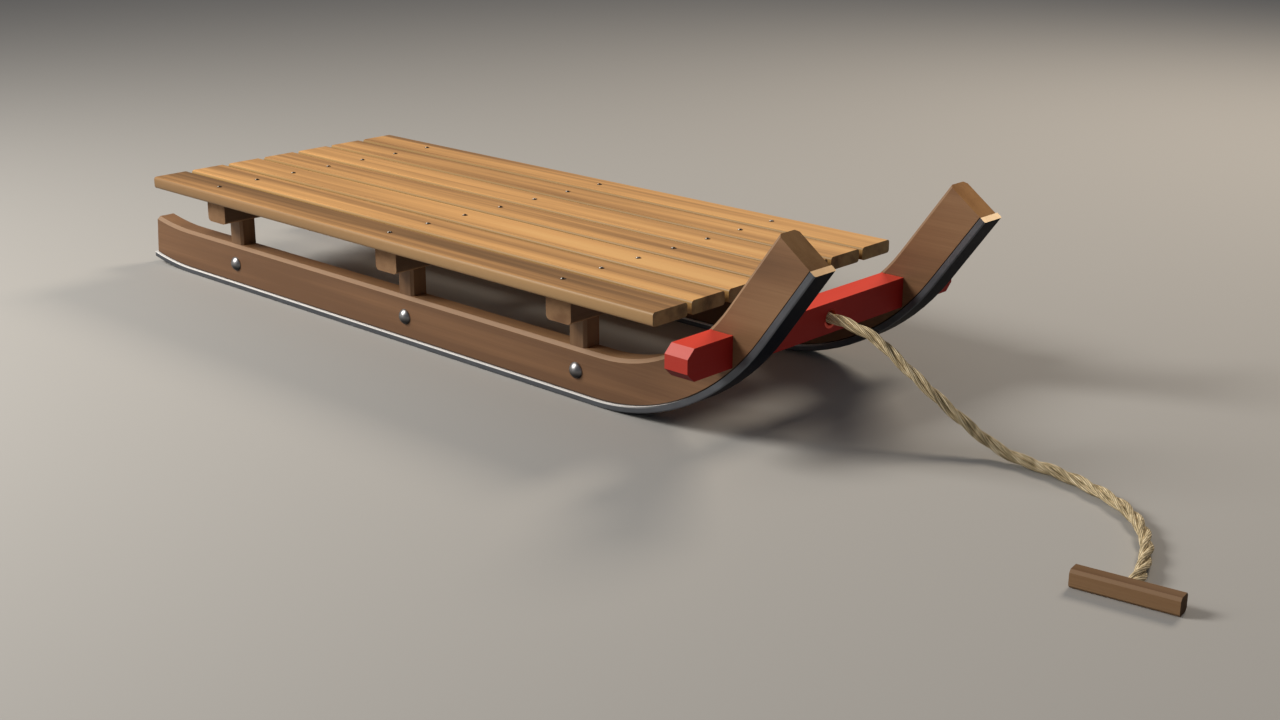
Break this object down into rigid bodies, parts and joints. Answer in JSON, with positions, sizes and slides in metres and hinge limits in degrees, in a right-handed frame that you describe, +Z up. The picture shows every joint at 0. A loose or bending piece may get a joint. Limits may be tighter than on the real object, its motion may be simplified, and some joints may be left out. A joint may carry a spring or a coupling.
{
  "type": "horn sled",
  "caption": "Low wooden sled: a slatted deck on posts over metal-shod runners that curve up into horns, with a red pull bar, a straw rope and a wooden handle.",
  "frame": {"origin": "ground level midway between the tail and the tip of the shoes, on the sled's centre line", "axes": "+X forward to the horns, +Y to the sled's left, +Z up"},
  "size_m": [1.7223, 0.504, 0.259],
  "materials": {
    "golden_slat_wood": "satin varnish, streaky lengthwise grain",
    "brown_wood": "satin oiled brown wood",
    "shoe_steel": "dark satin steel, worn bright along its edges",
    "red_paint": "satin red paint on wood",
    "rope_fibre": "dry straw-coloured laid fibre"
  },
  "bodies": {
    "root": {"slat_1": "golden_slat_wood", "slat_2": "golden_slat_wood", "slat_3": "golden_slat_wood", "slat_4": "golden_slat_wood", "slat_5": "golden_slat_wood", "slat_6": "golden_slat_wood", "slat_7": "golden_slat_wood", "crossbar_rear": "brown_wood", "crossbar_middle": "brown_wood", "crossbar_front": "brown_wood", "post_left_rear": "brown_wood", "post_left_middle": "brown_wood", "post_left_front": "brown_wood", "post_right_rear": "brown_wood", "post_right_middle": "brown_wood", "post_right_front": "brown_wood", "runner_left": "brown_wood", "runner_right": "brown_wood", "shoe_left": "shoe_steel", "shoe_right": "shoe_steel", "pull_bar": "red_paint", "rope": "rope_fibre", "rope_knot": "rope_fibre", "handle": "brown_wood"}
  },
  "joints": []
}
